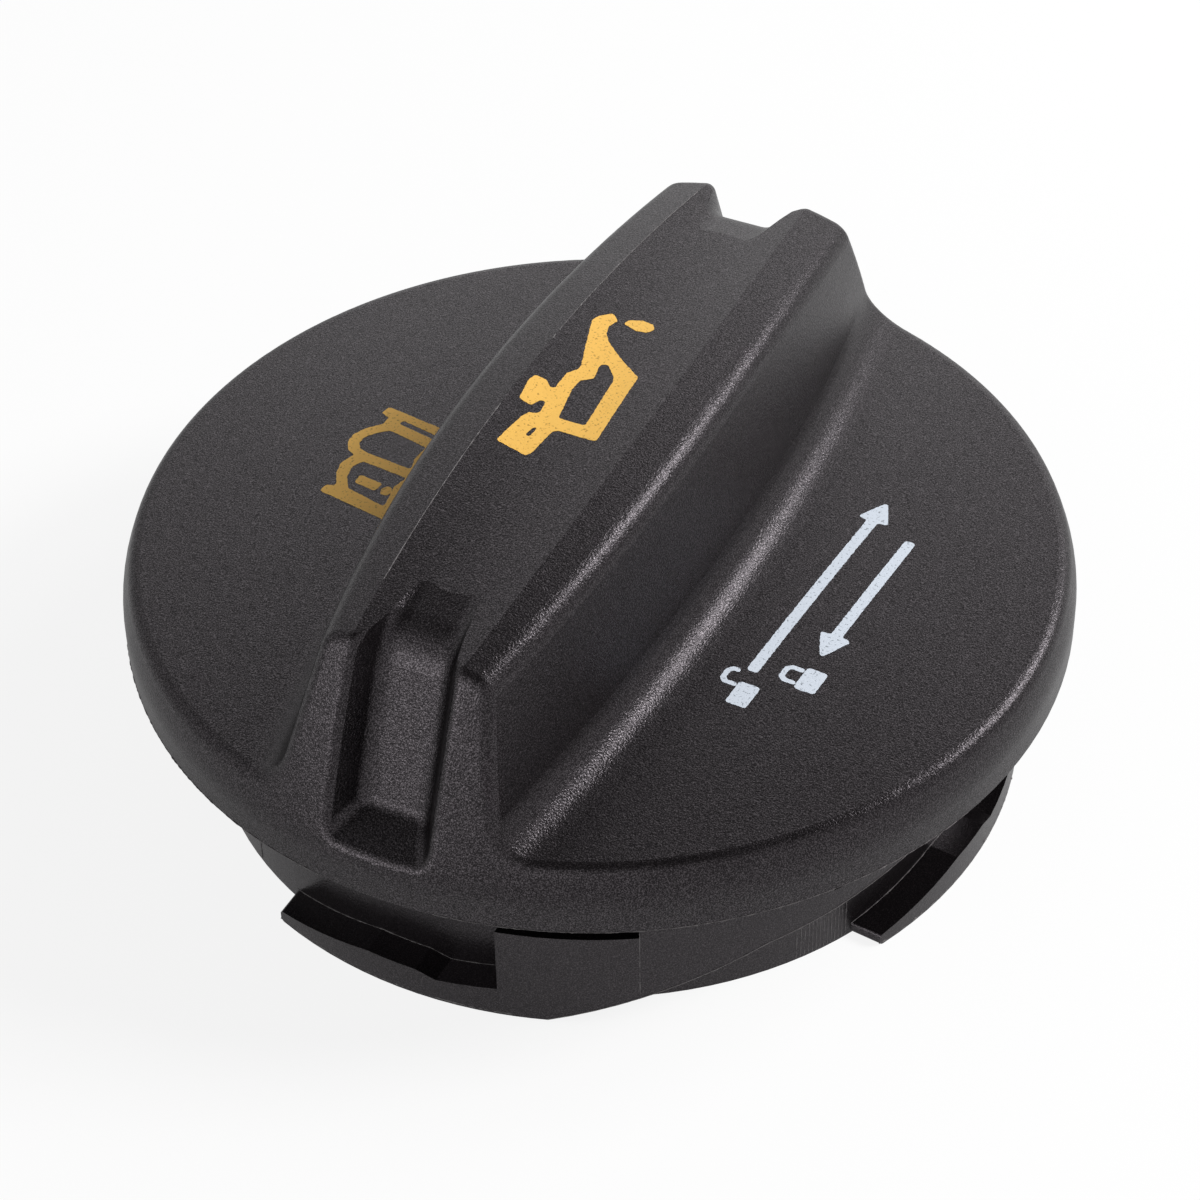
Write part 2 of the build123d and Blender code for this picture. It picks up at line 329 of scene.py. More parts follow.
@dataclass(frozen=True)
class PadPrintInk:
    """Pad-printed ink on grained plastic.

    To the eye it is an even, matt field of colour in which the grain's pits show as darker specks.
    """

    name: str
    shade: str
    pit: str
    roughness: float = 0.5
    ior: float = 1.5
    grain: float = 0.2 * MM
    grain_height: float = 0.012 * MM
    grain_strength: float = 0.7
    pit_span: Point = (0.42, 0.3)

    def make(self) -> bpy.types.Material:
        """Build the material.

        Returns:
            The node material.
        """
        material, tree, output = new_material(self.name)
        place = add_node(tree, "ShaderNodeTexCoord").outputs["Object"]
        pebble = add_node(tree, "ShaderNodeTexNoise", inputs={
            "Vector": place, "Scale": 1 / self.grain, "Detail": 2.0}).outputs["Fac"]
        bump = add_node(tree, "ShaderNodeBump", inputs={
            "Strength": self.grain_strength, "Distance": self.grain_height,
            "Height": pebble}).outputs["Normal"]
        bare = add_node(tree, "ShaderNodeMapRange", {"interpolation_type": "SMOOTHSTEP"}, {
            "Value": pebble, "From Min": self.pit_span[0], "From Max": self.pit_span[1]}).outputs["Result"]
        colour = add_node(tree, "ShaderNodeMix", {"data_type": "RGBA"}, {
            "Factor": bare, 6: linear(self.shade), 7: linear(self.pit)}).outputs[2]
        shader = add_node(tree, "ShaderNodeBsdfPrincipled", inputs={
            "Base Color": colour, "Roughness": self.roughness, "IOR": self.ior, "Normal": bump})
        tree.links.new(shader.outputs[0], output.inputs["Surface"])
        return material


class Ink(Enum):
    """The two inks of the cap's print."""

    AMBER = PadPrintInk("pad_print_ink_amber", "F5C15E", "B98C3C")
    WHITE = PadPrintInk("pad_print_ink_white", "D3DBE6", "8F969F")


@dataclass
class PrintFilm:
    """Geometry Nodes tree that lays filled outlines on the cap as a thin closed film of ink."""

    lift: float = 0.02 * MM
    sink: float = 0.05 * MM
    edge_step: float = 0.14 * MM
    edge_wander: float = 0.035 * MM
    grain: float = 0.25 * MM
    corner: float = 0.22 * MM
    corner_points: int = 4
    drop_height: float = 60.0 * MM
    weld: float = 0.001 * MM

    def tree(self) -> bpy.types.NodeTree:
        """Build the node group, with named inputs for its sizes.

        Returns:
            The geometry node group.
        """
        group, given = new_group("print_film", (
            ("Cap", "NodeSocketObject"), ("Finish", "NodeSocketMaterial"), ("Corner", "NodeSocketFloat"),
            ("Edge Step", "NodeSocketFloat"), ("Edge Wander", "NodeSocketFloat"),
            ("Grain", "NodeSocketFloat"), ("Sink", "NodeSocketFloat"), ("Film", "NodeSocketFloat")))
        rounded = add_node(group, "GeometryNodeFilletCurve", {"mode": "POLY"}, {
            "Curve": given["Geometry"], "Radius": given["Corner"], "Limit Radius": True,
            "Count": self.corner_points})
        stepped = add_node(group, "GeometryNodeResampleCurve", {"mode": "LENGTH"}, {
            "Curve": rounded.outputs[0], "Length": given["Edge Step"]})
        where = add_node(group, "GeometryNodeInputPosition").outputs[0]
        pitch = add_node(group, "ShaderNodeMath", {"operation": "DIVIDE"}, {
            0: 1.0, 1: given["Grain"]}).outputs[0]
        wander = add_node(group, "ShaderNodeTexNoise", {"noise_dimensions": "3D"}, {
            "Vector": where, "Scale": pitch, "Detail": 1.0}).outputs["Color"]
        centred = add_node(group, "ShaderNodeVectorMath", {"operation": "SUBTRACT"}, {
            0: wander, 1: (0.5, 0.5, 0.5)}).outputs[0]
        flat = add_node(group, "ShaderNodeVectorMath", {"operation": "MULTIPLY"}, {
            0: centred, 1: (4.0, 4.0, 0.0)}).outputs[0]
        shift = add_node(group, "ShaderNodeVectorMath", {"operation": "SCALE"}, {
            0: flat, "Scale": given["Edge Wander"]}).outputs[0]
        ragged = add_node(group, "GeometryNodeSetPosition", inputs={
            "Geometry": stepped.outputs[0], "Offset": shift})
        filled = add_node(group, "GeometryNodeFillCurve", inputs={"Curve": ragged.outputs[0]})
        finer = add_node(group, "GeometryNodeSubdivideMesh", inputs={"Mesh": filled.outputs[0], "Level": 2})
        cap = add_node(group, "GeometryNodeObjectInfo", {"transform_space": "RELATIVE"}, {
            "Object": given["Cap"]})
        here = add_node(group, "GeometryNodeInputPosition").outputs[0]
        over = add_node(group, "ShaderNodeVectorMath", {"operation": "ADD"}, {
            0: here, 1: (0.0, 0.0, self.drop_height)}).outputs[0]
        ray = add_node(group, "GeometryNodeRaycast", {"data_type": "FLOAT"}, {
            "Target Geometry": cap.outputs["Geometry"], "Source Position": over,
            "Ray Direction": (0.0, 0.0, -1.0), "Ray Length": 1.0})
        depth = add_node(group, "ShaderNodeMath", {"operation": "MULTIPLY"}, {
            0: given["Sink"], 1: -1.0}).outputs[0]
        below = add_node(group, "ShaderNodeVectorMath", {"operation": "SCALE"}, {
            0: ray.outputs["Hit Normal"], "Scale": depth}).outputs[0]
        seat = add_node(group, "ShaderNodeVectorMath", {"operation": "ADD"}, {
            0: ray.outputs["Hit Position"], 1: below}).outputs[0]
        laid = add_node(group, "GeometryNodeSetPosition", inputs={
            "Geometry": finer.outputs[0], "Position": seat}).outputs[0]
        film = add_node(group, "GeometryNodeExtrudeMesh", {"mode": "FACES"}, {
            "Mesh": laid, "Offset Scale": given["Film"], "Individual": False}).outputs[0]
        base = add_node(group, "GeometryNodeFlipFaces", inputs={"Mesh": laid}).outputs[0]
        both = add_node(group, "GeometryNodeJoinGeometry")
        group.links.new(film, both.inputs[0])
        group.links.new(base, both.inputs[0])
        closed = add_node(group, "GeometryNodeMergeByDistance", inputs={
            "Geometry": both.outputs[0], "Distance": self.weld})
        real = add_node(group, "GeometryNodeRealizeInstances", inputs={"Geometry": closed.outputs[0]})
        inked = add_node(group, "GeometryNodeSetMaterial", inputs={
            "Geometry": real.outputs[0], "Material": given["Finish"]})
        add_node(group, "NodeGroupOutput", inputs={"Geometry": inked.outputs[0]})
        return group

    def lay(
        self,
        name: str,
        outlines: Sequence[Outline],
        ink: bpy.types.Material,
        group: bpy.types.NodeTree,
    ) -> bpy.types.Object:
        """Lay closed outlines on the cap's upper side as one piece of ink.

        Args:
            name: Name of the finished piece.
            outlines: Closed outlines in millimetres, as X and Y of the cap; holes are outlines too.
            ink: Material of the film.
            group: The node group from tree().

        Returns:
            The finished mesh object.
        """
        drawn = draw_lines(name, [[(x, y, 0.0) for x, y in line] for line in outlines], True)
        return bake(name, drawn, group, {
            "Cap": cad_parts["cap_body"], "Finish": ink, "Corner": self.corner,
            "Edge Step": self.edge_step, "Edge Wander": self.edge_wander, "Grain": self.grain,
            "Sink": self.sink, "Film": self.sink + self.lift})


@dataclass
class OilCanSign:
    """Oil can with spout and falling drop, in the trough of the grip.

    Outlines are (along, up) in millimetres: along runs with the grip, up points to the cap's left.
    """

    can: Outline = field(default_factory=lambda: [
        (-5.55, -2.7), (2.35, -2.3), (4.1, 0.0), (5.4, 1.5), (6.3, 2.15), (7.2, 2.35), (8.1, 2.05),
        (8.75, 2.75), (8.0, 3.5), (7.2, 3.75), (6.2, 3.45), (3.7, 2.68), (1.95, 2.1), (1.35, 2.15),
        (0.6, 2.65), (-1.3, 2.65), (-1.4, 3.0), (-0.75, 3.6), (-0.7, 4.5), (-1.4, 4.7), (-3.6, 4.4),
        (-3.85, 3.3), (-3.0, 3.0), (-3.0, 2.55), (-4.35, 2.4), (-4.6, 3.1), (-5.3, 3.4), (-8.35, 3.85),
        (-8.85, 1.25), (-8.4, 1.0), (-5.75, 0.7), (-5.45, 0.3)])
    window: Outline = field(default_factory=lambda: [
        (-4.2, -1.2), (1.3, -0.8), (1.85, -0.55), (2.85, 0.35), (2.75, 0.85), (2.2, 0.85), (1.0, 0.6),
        (0.3, 1.4), (-0.8, 1.5), (-4.2, 0.95)])
    handle_slot: Outline = field(default_factory=lambda: [
        (-6.95, 1.9), (-5.8, 1.8), (-5.9, 2.1), (-6.9, 2.3)])
    drop: Outline = field(default_factory=lambda: [
        (8.0, 1.55), (8.6, 1.35), (9.0, 0.4), (8.85, -0.5), (8.35, -0.85), (7.75, -0.5), (7.6, 0.3)])

    def outlines(self) -> list[Outline]:
        """Give the sign's outlines in the cap's X and Y.

        Returns:
            The can, its window, the slot in its handle and the drop.
        """
        return [[(-up, along) for along, up in line]
                for line in (self.can, self.window, self.handle_slot, self.drop)]


@dataclass
class HandbookSign:
    """Open handbook with a mark on its page, on the left of the disc, as (along, up) in millimetres."""

    cover: Outline = field(default_factory=lambda: [
        (-5.75, 20.75), (-5.0, 20.6), (-4.7, 19.85), (-3.4, 20.6), (-2.2, 20.85), (-1.3, 20.55),
        (-0.95, 20.3), (-0.6, 21.1), (0.3, 21.65), (1.3, 21.7), (2.4, 21.1), (3.3, 20.15), (4.2, 20.15),
        (4.55, 20.95), (5.45, 20.75), (4.2, 14.6), (3.0, 14.1), (1.2, 14.75), (-0.4, 14.85), (-1.7, 14.2),
        (-3.2, 14.75), (-5.0, 14.6), (-7.2, 13.9)])
    left_page: Outline = field(default_factory=lambda: [
        (-4.75, 18.8), (-3.5, 19.6), (-2.3, 19.8), (-1.45, 19.35), (-2.05, 15.2), (-3.3, 15.6),
        (-5.7, 15.2)])
    right_page: Outline = field(default_factory=lambda: [
        (-0.4, 19.5), (-0.1, 20.3), (0.5, 20.75), (1.3, 20.7), (2.2, 20.0), (2.75, 19.2), (1.85, 15.6),
        (0.3, 15.75), (-1.0, 15.4)])
    cover_gap: Outline = field(default_factory=lambda: [
        (3.75, 19.0), (4.25, 18.9), (3.35, 15.0), (2.85, 15.15)])
    stem: Outline = field(default_factory=lambda: [
        (-3.95, 18.7), (-2.95, 18.75), (-3.35, 16.6), (-4.3, 16.75)])
    dot: Outline = field(default_factory=lambda: [
        (-4.45, 16.2), (-3.9, 16.4), (-3.45, 16.1), (-3.55, 15.65), (-4.1, 15.45), (-4.55, 15.7)])

    def outlines(self) -> list[Outline]:
        """Give the sign's outlines in the cap's X and Y.

        Returns:
            The cover with its three openings, and the mark's stem and dot.
        """
        lines = (self.cover, self.left_page, self.right_page, self.cover_gap, self.stem, self.dot)
        return [[(-up, along) for along, up in line] for line in lines]


@dataclass(frozen=True)
class TurnRow:
    """One arrow and its padlock, in millimetres along the grip and up in the sign.

    A lift above zero slides the padlock's shackle out along the row, which shows it open.
    """

    up: float
    tail: float
    tip: float
    lock: float
    lift: float


@dataclass
class TurnSigns:
    """Plain arrows with an open and a closed padlock, which show how the cap turns, right of the grip."""

    rows: tuple[TurnRow, ...] = (
        TurnRow(up=-18.1, tail=-10.6, tip=10.9, lock=-13.0, lift=1.4),
        TurnRow(up=-21.6, tail=7.4, tip=-7.2, lock=-9.6, lift=0.0))
    slant: float = -0.085
    half_stroke: float = 0.42
    head_half: float = 1.25
    head_length: float = 2.625
    lock_width: float = 2.3
    lock_height: float = 1.6
    lock_drop: float = 0.55
    shackle_width: float = 1.794
    shackle_height: float = 1.45
    shackle_bar: float = 0.4
    shackle_bend: float = 0.4
    inner_bend: Point = (0.2, 0.15)
    shackle_gap: float = 0.02
    open_gap: float = 0.45

    def arrow(self, row: TurnRow) -> Outline:
        """Draw the arrow of a row.

        Args:
            row: The row.

        Returns:
            Closed outline as (along, up).
        """
        way = 1 if row.tip > row.tail else -1
        neck = row.tip - way * self.head_length
        low, high = row.up - self.half_stroke, row.up + self.half_stroke
        return [(row.tail, low), (neck, low), (neck, row.up - self.head_half), (row.tip, row.up),
                (neck, row.up + self.head_half), (neck, high), (row.tail, high)]

    def padlock(self, row: TurnRow) -> list[Outline]:
        """Draw the padlock of a row.

        Args:
            row: The row.

        Returns:
            Closed outlines of the body and of the shackle.
        """
        near, far = row.lock - self.lock_width / 2, row.lock + self.lock_width / 2
        low = row.up - self.lock_height / 2 - self.lock_drop
        top = low + self.lock_height
        body = [(near, low), (far, low), (far, top), (near, top)]
        left = row.lock - self.shackle_width / 2 + row.lift
        right = left + self.shackle_width
        crown = top + self.shackle_height
        foot = top + self.shackle_gap
        free = top + self.open_gap if row.lift else foot
        bend, bar = self.shackle_bend, self.shackle_bar
        run, fall = self.inner_bend
        shackle = [
            (left, foot), (left, crown - bend), (left + bend, crown), (right - bend, crown),
            (right, crown - bend), (right, free), (right - bar, free), (right - bar, crown - bar - fall),
            (right - bar - run, crown - bar), (left + bar + run, crown - bar),
            (left + bar, crown - bar - fall), (left + bar, foot)]
        return [body, shackle]

    def outlines(self) -> list[Outline]:
        """Give the signs' outlines in the cap's X and Y.

        Returns:
            Both rows of arrows and padlocks.
        """
        lines = [line for row in self.rows for line in (self.arrow(row), *self.padlock(row))]
        return [[(-(up + self.slant * along), along) for along, up in line] for line in lines]


@dataclass
class Print:
    """All the ink on the cap's upper side."""

    film: PrintFilm = field(default_factory=PrintFilm)

    def build(self) -> list[bpy.types.Object]:
        """Lay every sign on the cap.

        Returns:
            The finished pieces.
        """
        group = self.film.tree()
        amber, white = Ink.AMBER.value.make(), Ink.WHITE.value.make()
        signs = (("oil_can_sign", OilCanSign().outlines(), amber),
                 ("handbook_sign", HandbookSign().outlines(), amber),
                 ("turn_signs", TurnSigns().outlines(), white))
        return [self.film.lay(name, lines, ink, group) for name, lines, ink in signs]


@dataclass(frozen=True)
class Upright:
    """A straight line up the plug's side: its angle in degrees, its radius and heights in millimetres."""

    angle: float
    radius: float
    low: float
    top: float

    def points(self, turn: float) -> list[Place]:
        """Give the line's ends, turned about the cap's axis."""
        return [turned(self.radius, self.angle + turn, height) for height in (self.low, self.top)]


@dataclass(frozen=True)
class Bead:
    """Flash of one kind: its piece's name, its lines, and its least and greatest radius in millimetres."""

    name: str
    lines: list[list[Place]]
    thin: float
    thick: float


@dataclass
class MouldFlash:
    """Thin broken flash where the mould's parts met: on a crease, at edges and along slide lines.

    Sizes are millimetres unless they are marked, angles degrees about the cap's axis. A bead lies half
    sunk along each line, and where it thins it hardly shows, which breaks the line.
    """

    rim_radius: float = 36.0
    rim_lift: float = 0.04
    skirt_radius: float = 30.35
    claw_radius: float = 32.65
    claw_angle: float = -77.6
    claw_turns: tuple[float, ...] = (0.0, 85.0, 180.0, 265.0)
    ramp_slide: float = 30.0
    ramp: tuple[Point, ...] = ((6.4, 0.1), (34.4, 5.7), (43.6, 6.65), (57.0, 8.2))
    arm_slide: float = -14.5
    arm_floor: tuple[Point, ...] = ((-33.4, 1.0), (-18.0, 2.6), (-11.0, 2.6), (-8.2, 2.1), (0.0, 2.65))
    arm_foot: tuple[Point, ...] = ((-33.4, 0.17), (6.4, 0.17))
    foot_sink: float = 0.05
    rim_spans: tuple[Point, ...] = ((-150.0, -97.0), (-83.0, -18.0))
    crest_half: Point = (5.34, 3.55)
    crest_height: Point = (32.3, 29.4)
    crest_span: Point = (-24.0, 27.5)
    crest_sink: float = 0.09
    slides: tuple[Upright, ...] = (
        Upright(-59.6, 32.65, 2.7, 9.2), Upright(-36.7, 30.35, 0.2, 6.0), Upright(-121.8, 30.35, 0.2, 4.0))
    score_span: Point = (-36.0, -28.5)
    score_count: int = 13
    score_heights: Point = (0.2, 5.6)
    step: float = 0.12 * MM
    pitch: float = 0.5 * MM
    pitch_span: Point = (0.4, 0.75)
    bead_sides: int = 6
    claw_steps: int = 12
    crest_points: int = 61
    rim_points: int = 41

    def tree(self) -> bpy.types.NodeTree:
        """Build the geometry tree of a bead whose thickness wanders along a line.

        Returns:
            The geometry node group.
        """
        group, given = new_group("flash_bead", (
            ("Finish", "NodeSocketMaterial"), ("Step", "NodeSocketFloat"), ("Pitch", "NodeSocketFloat"),
            ("Thin", "NodeSocketFloat"), ("Thick", "NodeSocketFloat")))
        stepped = add_node(group, "GeometryNodeResampleCurve", {"mode": "LENGTH"}, {
            "Curve": given["Geometry"], "Length": given["Step"]})
        where = add_node(group, "GeometryNodeInputPosition").outputs[0]
        often = add_node(group, "ShaderNodeMath", {"operation": "DIVIDE"}, {
            0: 1.0, 1: given["Pitch"]}).outputs[0]
        wander = add_node(group, "ShaderNodeTexNoise", {"noise_dimensions": "3D"}, {
            "Vector": where, "Scale": often, "Detail": 2.0}).outputs["Fac"]
        size = add_node(group, "ShaderNodeMapRange", inputs={
            "Value": wander, "From Min": self.pitch_span[0], "From Max": self.pitch_span[1],
            "To Min": given["Thin"], "To Max": given["Thick"]})
        ring = add_node(group, "GeometryNodeCurvePrimitiveCircle", inputs={
            "Resolution": self.bead_sides, "Radius": 1.0})
        bead = add_node(group, "GeometryNodeCurveToMesh", inputs={
            "Curve": stepped.outputs[0], "Profile Curve": ring.outputs[0],
            "Scale": size.outputs[0], "Fill Caps": True})
        real = add_node(group, "GeometryNodeRealizeInstances", inputs={"Geometry": bead.outputs[0]})
        done = add_node(group, "GeometryNodeSetMaterial", inputs={
            "Geometry": real.outputs[0], "Material": given["Finish"]})
        add_node(group, "NodeGroupOutput", inputs={"Geometry": done.outputs[0]})
        return group

    def claw_lines(self, corners: Sequence[Point], slide: float, radius: float) -> list[list[Place]]:
        """Run a line of the claw's outline round all four claws.

        Args:
            corners: Angle from the closed end of the claw's slot, and height, of each corner.
            slide: Angle of the direction in which the mould's slide draws the outline.
            radius: Radius of the surface that the line lies on.

        Returns:
            One line for each claw.
        """
        flat = [(self.claw_radius * math.sin(math.radians(angle - slide)), height)
                for angle, height in corners]
        path = []
        for (across, low), (across_end, high) in zip(flat, flat[1:]):
            for share in (k / self.claw_steps for k in range(self.claw_steps)):
                reach = across + (across_end - across) * share
                path.append((slide + math.degrees(math.asin(reach / radius)), low + (high - low) * share))
        return [[turned(radius, self.claw_angle + turn + angle, height) for angle, height in path]
                for turn in self.claw_turns]

    def crease(self) -> list[list[Place]]:
        """Run a line along the left crease of the grip, beside the trough.

        Returns:
            One line.
        """
        middle, end = self.crest_half
        top, low = self.crest_height
        line = []
        for along in spread(*self.crest_span, self.crest_points):
            bow = (along / self.rim_radius) ** 2
            height = min(top + (low - top) * bow, top - self.crest_sink)
            line.append((-(middle + (end - middle) * bow), along, height))
        return [line]

    def build(self, finish: bpy.types.Material) -> list[bpy.types.Object]:
        """Lay every bead.

        Args:
            finish: Material of the flash, whose pale grey is painted highlight.

        Returns:
            The finished pieces.
        """
        rim = [[turned(self.rim_radius, angle, RIM_EDGE + self.rim_lift)
                for angle in spread(first, last, self.rim_points)] for first, last in self.rim_spans]
        ramp = self.claw_lines(self.ramp, self.ramp_slide, self.claw_radius)
        slot = self.claw_lines(self.arm_floor, self.arm_slide, self.skirt_radius)
        foot = self.claw_lines(self.arm_foot, self.arm_slide, self.claw_radius - self.foot_sink)
        slides = [line.points(turn) for line in self.slides for turn in HALF_TURNS]
        marks = [Upright(angle, self.skirt_radius, *self.score_heights)
                 for angle in spread(*self.score_span, self.score_count)]
        scores = [mark.points(turn) for mark in marks for turn in HALF_TURNS]
        # each bead's pale finish is painted highlight along the crease, edges and lines
        beads = (
            Bead("crease_flash", self.crease(), thin=0.02, thick=0.085),
            Bead("rim_flash", rim, thin=0.01, thick=0.07),
            Bead("ramp_flash", ramp, thin=0.03, thick=0.07),
            Bead("slot_flash", slot, thin=0.02, thick=0.08),
            Bead("foot_flash", foot, thin=0.02, thick=0.16),
            Bead("slide_flash", slides, thin=0.01, thick=0.07),
            Bead("tool_scores", scores, thin=0.01, thick=0.05))
        group = self.tree()
        return [bake(bead.name, draw_lines(bead.name, bead.lines, False), group, {
            "Finish": finish, "Step": self.step, "Pitch": self.pitch,
            "Thin": bead.thin * MM, "Thick": bead.thick * MM}) for bead in beads]


@dataclass
class CapBody:
    """The moulded cap and its sealing ring, which keep their own shapes and get their finishes."""

    nylon: MouldedNylon = field(default_factory=MouldedNylon)
    rubber: NitrileRubber = field(default_factory=NitrileRubber)
    flash: NylonFlash = field(default_factory=NylonFlash)

    def dress(self) -> None:
        """Give both nodes their material."""
        for node, finish in (("cap_body", self.nylon), ("seal_ring", self.rubber)):
            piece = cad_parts[node]
            piece.material_slots[0].material = finish.make()

    def build(self) -> list[bpy.types.Object]:
        """Add the flash that the mould left.

        Returns:
            The finished pieces.
        """
        return MouldFlash().build(self.flash.make())


@dataclass(frozen=True)
class Lamp:
    """A soft round lamp that faces the cap: where it stands, how far and wide in metres, and its watts.

    A lamp that isn't mirrored lights the cap but leaves no gleam on it.
    """

    name: str
    way: Place
    far: float
    size: float
    power: float
    mirrored: bool = True

    def hang(self) -> None:
        """Add the lamp to the scene."""
        light = bpy.data.lights.new(self.name, "AREA")
        light.shape = "DISK"
        light.size = self.size
        light.energy = self.power
        lamp = bpy.data.objects.new(self.name, light)
        way = Vector(self.way).normalized()
        lamp.location = way * self.far
        lamp.rotation_euler = way.to_track_quat("Z", "Y").to_euler()
        lamp.visible_glossy = self.mirrored
        bpy.context.scene.collection.objects.link(lamp)


@dataclass
class Studio:
    """White floor, a surround that is white behind the cap and dims overhead and to the sides, and lamps.

    The key stands behind the cap on its right and leaves no gleam, a weaker lamp near it makes the
    gleams, and a weak fill stands in front on the left. The floor is even white to the camera by the
    share floor_seen, and an even grey of level floor_gloss in reflections by the share floor_mirrored.
    The surround lights the cap by a share of what reflections show of it. Its levels are stops
    that rise from the horizon to straight above, and run across from left to right.
    """

    floor_half: float = 1.2
    floor_shade: str = "F7F7F7"
    floor_seen: float = 0.87
    floor_mirrored: float = 0.75
    floor_gloss: float = 0.52
    surround: float = 0.45
    rising: tuple[Point, ...] = (
        (0.0, 1.0), (0.62, 1.0), (0.72, 0.78), (0.82, 0.44), (0.9, 0.2), (1.0, 0.02))
    across: tuple[Point, ...] = ((0.1, 0.48), (0.18, 0.68), (0.25, 1.0), (0.55, 1.0), (0.8, 0.55))
    lamps: tuple[Lamp, ...] = (
        Lamp("key", (0.73, 0.38, 0.57), 0.9, 0.3, 8.0, mirrored=False),
        Lamp("gleam", (0.48, 0.6, 0.64), 0.9, 0.32, 2.4),
        Lamp("fill", (-0.42, -0.88, 0.15), 0.9, 0.6, 1.3))

    @staticmethod
    def mirrored(tree: bpy.types.NodeTree, path: Any) -> bpy.types.NodeSocket:
        """Tell rays that see the studio in a reflection or through glass from the rest.

        Args:
            tree: The tree to add to.
            path: Output sockets of its Light Path node.

        Returns:
            Output socket that is 1 on such rays and 0 on others.
        """
        return add_node(tree, "ShaderNodeMath", {"operation": "MAXIMUM"}, {
            0: path["Is Glossy Ray"], 1: path["Is Transmission Ray"]}).outputs[0]

    def floor(self) -> bpy.types.Object:
        """Make the paper floor, which looks white to the camera, greyer in reflections, and keeps shadows.

        Returns:
            The floor.
        """
        mesh = bpy.data.meshes.new("studio_floor")
        side = self.floor_half
        corners = [(-side, -side, 0), (side, -side, 0), (side, side, 0), (-side, side, 0)]
        mesh.from_pydata(corners, [], [(0, 1, 2, 3)])
        floor = bpy.data.objects.new("studio_floor", mesh)
        bpy.context.scene.collection.objects.link(floor)
        # Matt white paper: to the eye an even white ground that keeps the cap's soft shadow
        material, tree, output = new_material("floor_paper_white")
        path = add_node(tree, "ShaderNodeLightPath").outputs
        mirrored = add_node(tree, "ShaderNodeMath", {"operation": "MULTIPLY"}, {
            0: self.mirrored(tree, path), 1: self.floor_mirrored}).outputs[0]
        white = add_node(tree, "ShaderNodeMath", {"operation": "MULTIPLY_ADD"}, {
            0: path["Is Camera Ray"], 1: self.floor_seen, 2: mirrored}).outputs[0]
        paper = add_node(tree, "ShaderNodeBsdfDiffuse", inputs={
            "Color": linear(self.floor_shade)}).outputs[0]
        level = add_node(tree, "ShaderNodeMapRange", inputs={
            "Value": path["Is Camera Ray"], "To Min": self.floor_gloss, "To Max": 1.0}).outputs["Result"]
        glow = add_node(tree, "ShaderNodeEmission", inputs={
            "Color": WHITE_LIGHT, "Strength": level}).outputs[0]
        seen = add_node(tree, "ShaderNodeMixShader", inputs={0: white, 1: paper, 2: glow}).outputs[0]
        tree.links.new(seen, output.inputs["Surface"])
        mesh.materials.append(material)
        return floor

    def world(self) -> None:
        """Make the surround, which is white to the camera and lights less than its reflection shows."""
        world = bpy.data.worlds.new("studio_surround")
        bpy.context.scene.world = world
        world.use_nodes = True
        tree = world.node_tree
        tree.nodes.clear()
        output = add_node(tree, "ShaderNodeOutputWorld")
        way = add_node(tree, "ShaderNodeTexCoord").outputs["Generated"]
        axes = add_node(tree, "ShaderNodeSeparateXYZ", inputs={0: way}).outputs
        side = add_node(tree, "ShaderNodeMath", {"operation": "MULTIPLY_ADD"}, {
            0: axes["X"], 1: 0.5, 2: 0.5}).outputs[0]
        tone = add_node(tree, "ShaderNodeMix", {"data_type": "RGBA", "blend_type": "MULTIPLY"}, {
            "Factor": 1.0, 6: self.graded(tree, axes["Z"], self.rising),
            7: self.graded(tree, side, self.across)})
        path = add_node(tree, "ShaderNodeLightPath").outputs
        shown = add_node(tree, "ShaderNodeMath", {"operation": "MAXIMUM"}, {
            0: self.mirrored(tree, path), 1: path["Is Camera Ray"]}).outputs[0]
        strength = add_node(tree, "ShaderNodeMapRange", inputs={
            "Value": shown, "To Min": self.surround, "To Max": 1.0}).outputs["Result"]
        seen = add_node(tree, "ShaderNodeMix", {"data_type": "RGBA"}, {
            "Factor": path["Is Camera Ray"], 6: tone.outputs[2], 7: WHITE_LIGHT}).outputs[2]
        light = add_node(tree, "ShaderNodeBackground", inputs={"Color": seen, "Strength": strength})
        tree.links.new(light.outputs[0], output.inputs["Surface"])

    @staticmethod
    def graded(
        tree: bpy.types.NodeTree,
        value: bpy.types.NodeSocket,
        stops: Sequence[Point],
    ) -> bpy.types.NodeSocket:
        """Grade a value from 0 to 1 into levels of white.

        Args:
            tree: The world's tree.
            value: Output socket of the value.
            stops: Places from 0 to 1, each with its level.

        Returns:
            Output socket of the graded colour.
        """
        node = add_node(tree, "ShaderNodeValToRGB", inputs={"Fac": value})
        for _ in range(len(stops) - 2):
            node.color_ramp.elements.new(0.5)
        for element, (place, level) in zip(node.color_ramp.elements, stops):
            element.position = place
            element.color = (level, level, level, 1.0)
        return node.outputs["Color"]

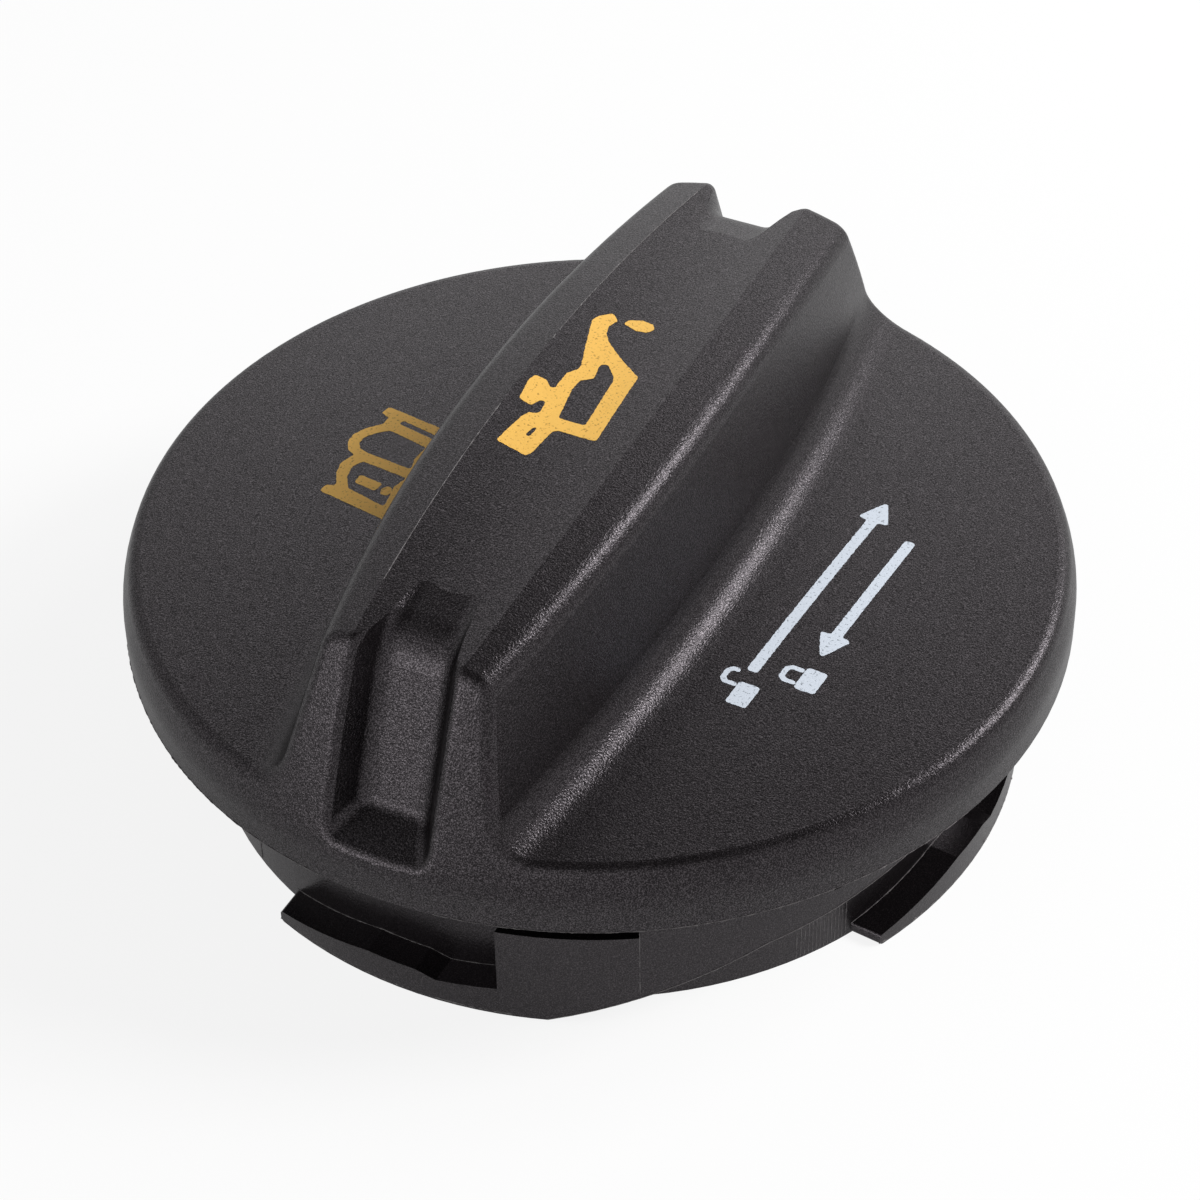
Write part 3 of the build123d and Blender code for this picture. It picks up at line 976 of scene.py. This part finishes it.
    def build(self) -> bpy.types.Object:
        """Make the floor, the world and the lamps.

        Returns:
            The floor.
        """
        bpy.context.scene.view_settings.view_transform = "Standard"
        self.world()
        for lamp in self.lamps:
            lamp.hang()
        return self.floor()


@dataclass
class PhotoCamera:
    """Camera at the photograph's angle: it looks at the cap's axis at the height of the rim's edge."""

    target: Place = (0.0, 0.0, RIM_EDGE * MM)
    distance: float = 250.0 * MM
    azimuth: float = 26.4
    elevation: float = 41.446
    roll: float = 1.174
    lens: float = 98.17
    sensor: float = 36.0
    shift_x: float = 0.0003
    shift_y: float = -0.0137
    nearest: float = 10.0 * MM

    def build(self) -> bpy.types.Object:
        """Place the camera and make it the scene's own.

        Returns:
            The camera object.
        """
        turn, lift, tilt = (math.radians(v) for v in (self.azimuth, self.elevation, self.roll))
        back = Vector((math.sin(turn) * math.cos(lift), -math.cos(turn) * math.cos(lift), math.sin(lift)))
        level = Vector((math.cos(turn), math.sin(turn), 0.0))
        rise = back.cross(level)
        right = level * math.cos(tilt) - rise * math.sin(tilt)
        up = level * math.sin(tilt) + rise * math.cos(tilt)
        place = Vector(self.target) + back * self.distance
        camera = bpy.data.cameras.new("photo_camera")
        camera.lens = self.lens
        camera.sensor_width = self.sensor
        camera.sensor_fit = "HORIZONTAL"
        camera.shift_x = self.shift_x
        camera.shift_y = self.shift_y
        camera.clip_start = self.nearest
        view = bpy.data.objects.new("photo_camera", camera)
        view.matrix_world = Matrix((
            (right.x, up.x, back.x, place.x), (right.y, up.y, back.y, place.y),
            (right.z, up.z, back.z, place.z), (0.0, 0.0, 0.0, 1.0)))
        bpy.context.scene.collection.objects.link(view)
        bpy.context.scene.camera = view
        return view


def main() -> None:
    """Build the studio, dress the cap and declare every piece."""
    logging.basicConfig(level=logging.INFO, format="%(name)s: %(message)s")
    PhotoCamera().build()
    Studio().build()
    cap = CapBody()
    cap.dress()
    for piece in cap.build() + Print().build():
        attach(piece, "root")
        LOG.info("%s with %d faces", piece.name, len(piece.data.polygons))


if __name__ == "__main__":
    main()
